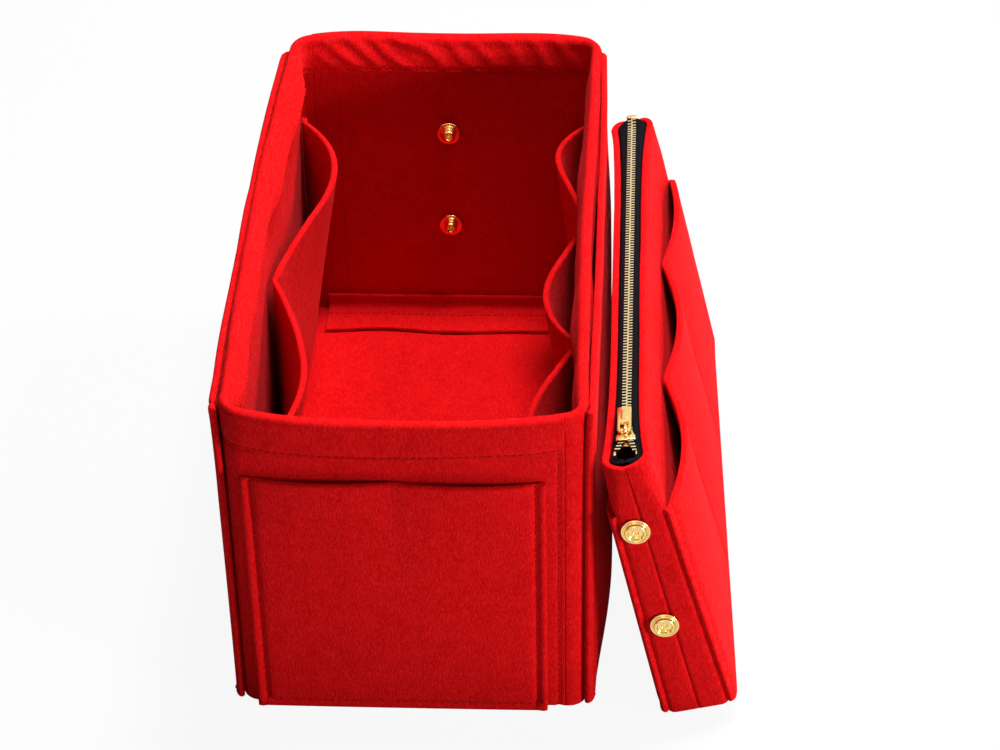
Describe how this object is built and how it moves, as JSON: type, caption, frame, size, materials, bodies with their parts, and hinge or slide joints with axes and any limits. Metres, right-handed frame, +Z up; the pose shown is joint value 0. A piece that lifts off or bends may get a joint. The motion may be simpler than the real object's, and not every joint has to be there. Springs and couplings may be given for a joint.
{
  "type": "purse organizer insert",
  "caption": "Open felt tub that stands inside a handbag, with slip pockets inside and out, and a slim zip pouch that snaps in as a divider.",
  "frame": {"origin": "middle of the tub's underside, on the surface that it stands on", "axes": "+Z up, +Y along the tub to its far end, +X across the tub to the side where the pouch leans"},
  "size_m": [0.2209, 0.3326, 0.16],
  "materials": {
    "red_felt": "pressed wool-like felt, matt, with a short fuzz",
    "zip_tape": "black twill tape",
    "gold_metal": "polished gold plate"
  },
  "bodies": {
    "tub": {"bottom_panel": "red_felt", "near_end_wall": "red_felt", "far_end_wall": "red_felt", "left_side_wall": "red_felt", "right_side_wall": "red_felt", "near_rim_binding": "red_felt", "far_rim_binding": "red_felt", "left_rim_facing": "red_felt", "right_rim_facing": "red_felt", "near_end_pocket": "red_felt", "far_end_pocket": "red_felt", "left_outer_pocket": "red_felt", "right_outer_pocket": "red_felt", "left_inner_pocket": "red_felt", "right_inner_pocket": "red_felt", "near_lower_stud": "gold_metal", "near_lower_stud_cap": "gold_metal", "near_upper_stud": "gold_metal", "near_upper_stud_cap": "gold_metal", "far_lower_stud": "gold_metal", "far_lower_stud_cap": "gold_metal", "far_upper_stud": "gold_metal", "far_upper_stud_cap": "gold_metal"},
    "pouch": {"pouch_left_shell": "red_felt", "pouch_right_shell": "red_felt", "pouch_bottom": "red_felt", "pouch_left_pocket": "red_felt", "pouch_right_pocket": "red_felt", "pouch_near_lower_socket": "gold_metal", "pouch_near_lower_socket_cap": "gold_metal", "pouch_near_upper_socket": "gold_metal", "pouch_near_upper_socket_cap": "gold_metal", "pouch_far_lower_socket": "gold_metal", "pouch_far_lower_socket_cap": "gold_metal", "pouch_far_upper_socket": "gold_metal", "pouch_far_upper_socket_cap": "gold_metal", "left_zip_tape": "zip_tape", "right_zip_tape": "zip_tape", "left_tooth_row": "gold_metal", "right_tooth_row": "gold_metal", "left_top_stop": "gold_metal", "right_top_stop": "gold_metal", "bottom_stop": "gold_metal"},
    "slider": {"zip_slider": "gold_metal"},
    "pull": {"pull_tab": "gold_metal"}
  },
  "joints": [
    {"name": "pouch_pull_away", "type": "slide", "parent": "tub", "child": "pouch", "axis": [1, 0, 0], "range_m": [0, 0.12]},
    {"name": "slider_travel", "type": "slide", "parent": "pouch", "child": "slider", "axis": [0, 1, 0], "range_m": [0, 0.238], "deforming": ["left_tooth_row", "right_tooth_row"]},
    {"name": "pull_tab_flip", "type": "hinge", "parent": "slider", "child": "pull", "pos_m": [0.08976, -0.1325, 0.13748], "axis": [0.9686, 0, 0.2487], "range_deg": [0, 175]}
  ]
}
